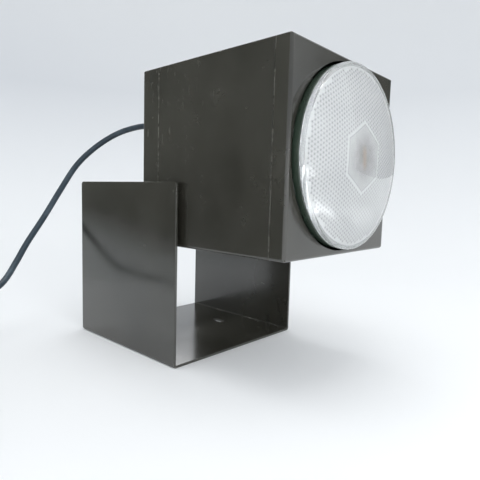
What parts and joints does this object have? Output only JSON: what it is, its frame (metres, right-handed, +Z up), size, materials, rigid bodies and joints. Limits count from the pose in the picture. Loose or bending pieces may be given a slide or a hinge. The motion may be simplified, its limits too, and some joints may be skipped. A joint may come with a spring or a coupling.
{
  "type": "reflector lamp spotlight",
  "caption": "Square sheet-steel spotlight with a pressed-glass reflector lamp, tilting in a U bracket that stands on its own base, with a mains lead and plug.",
  "frame": {"origin": "centre of the underside of the U bracket's base plate, on the surface it stands on", "axes": "+Z up; the lamp shines along -Y; the bracket's arms stand at -X and +X, and the tilt axis is along X"},
  "size_m": [0.3635, 0.287, 0.2212],
  "materials": {
    "housing_lacquer": "glossy dark brown-black lacquer on sheet steel, worn at edges",
    "plated_steel": "zinc plated",
    "fibre": "pressed fibre, matt",
    "lens_glass": "pressed clear glass with fine lenticules",
    "mirrored_glass": "aluminised pressed glass",
    "brass": "stamped brass",
    "black_glass": "black vitrite",
    "tungsten": "drawn wire",
    "ceramic": "glazed white porcelain",
    "wire_brown": "insulated wire",
    "wire_blue": "insulated wire",
    "wire_green": "insulated wire",
    "black_nylon": "moulded nylon",
    "cord_rubber": "smooth dark rubber sheath",
    "plug_plastic": "moulded rubber plastic",
    "tie_plastic": "ribbon tie"
  },
  "bodies": {
    "root": {"yoke_bracket": "housing_lacquer", "pivot_stud_left": "plated_steel", "pivot_stud_right": "plated_steel", "pivot_spring_washer_left": "plated_steel", "pivot_spring_washer_right": "plated_steel", "pivot_nut_left": "plated_steel", "pivot_nut_right": "plated_steel", "cord": "cord_rubber", "cord_coil": "cord_rubber", "cord_tail": "cord_rubber", "cord_tie": "tie_plastic", "plug_body": "plug_plastic", "plug_pin_left": "brass", "plug_pin_right": "brass", "plug_earth_upper": "brass", "plug_earth_lower": "brass"},
    "lamp": {"lamp_lens": "lens_glass", "lamp_reflector": "mirrored_glass", "lamp_skirt": "brass", "lamp_base_shell": "brass", "lamp_base_insulator": "black_glass", "lamp_base_contact": "brass", "lamp_filament": "tungsten"},
    "housing": {"bracket_screw_left": "plated_steel", "bracket_screw_right": "plated_steel", "cable_gland": "black_nylon", "cable_gland_nut": "black_nylon", "cord_strain_relief": "black_nylon", "earth_nut": "brass", "earth_screw": "brass", "front_cap": "housing_lacquer", "front_cap_screw_left": "plated_steel", "front_cap_screw_right": "plated_steel", "holder_bracket": "plated_steel", "holder_screw_left": "plated_steel", "holder_screw_right": "plated_steel", "housing_body": "housing_lacquer", "lampholder_body": "ceramic", "lampholder_contact": "brass", "lampholder_sleeve": "brass", "pivot_spacer_left": "fibre", "pivot_spacer_right": "fibre", "pivot_washer_left": "plated_steel", "pivot_washer_right": "plated_steel", "rear_cap": "housing_lacquer", "rear_cap_screw_left": "plated_steel", "rear_cap_screw_right": "plated_steel", "terminal_live": "brass", "terminal_neutral": "brass", "wire_earth": "wire_green", "wire_live": "wire_brown", "wire_neutral": "wire_blue"}
  },
  "joints": [
    {"name": "tilt", "type": "hinge", "parent": "root", "child": "housing", "pos_m": [0, -0.0439, 0.114], "axis": [-1, 0, 0], "range_deg": [-50, 90], "deforming": ["cord"]},
    {"name": "lamp_out", "type": "slide", "parent": "housing", "child": "lamp", "axis": [0, -1, 0], "range_m": [0, 0.13]}
  ]
}
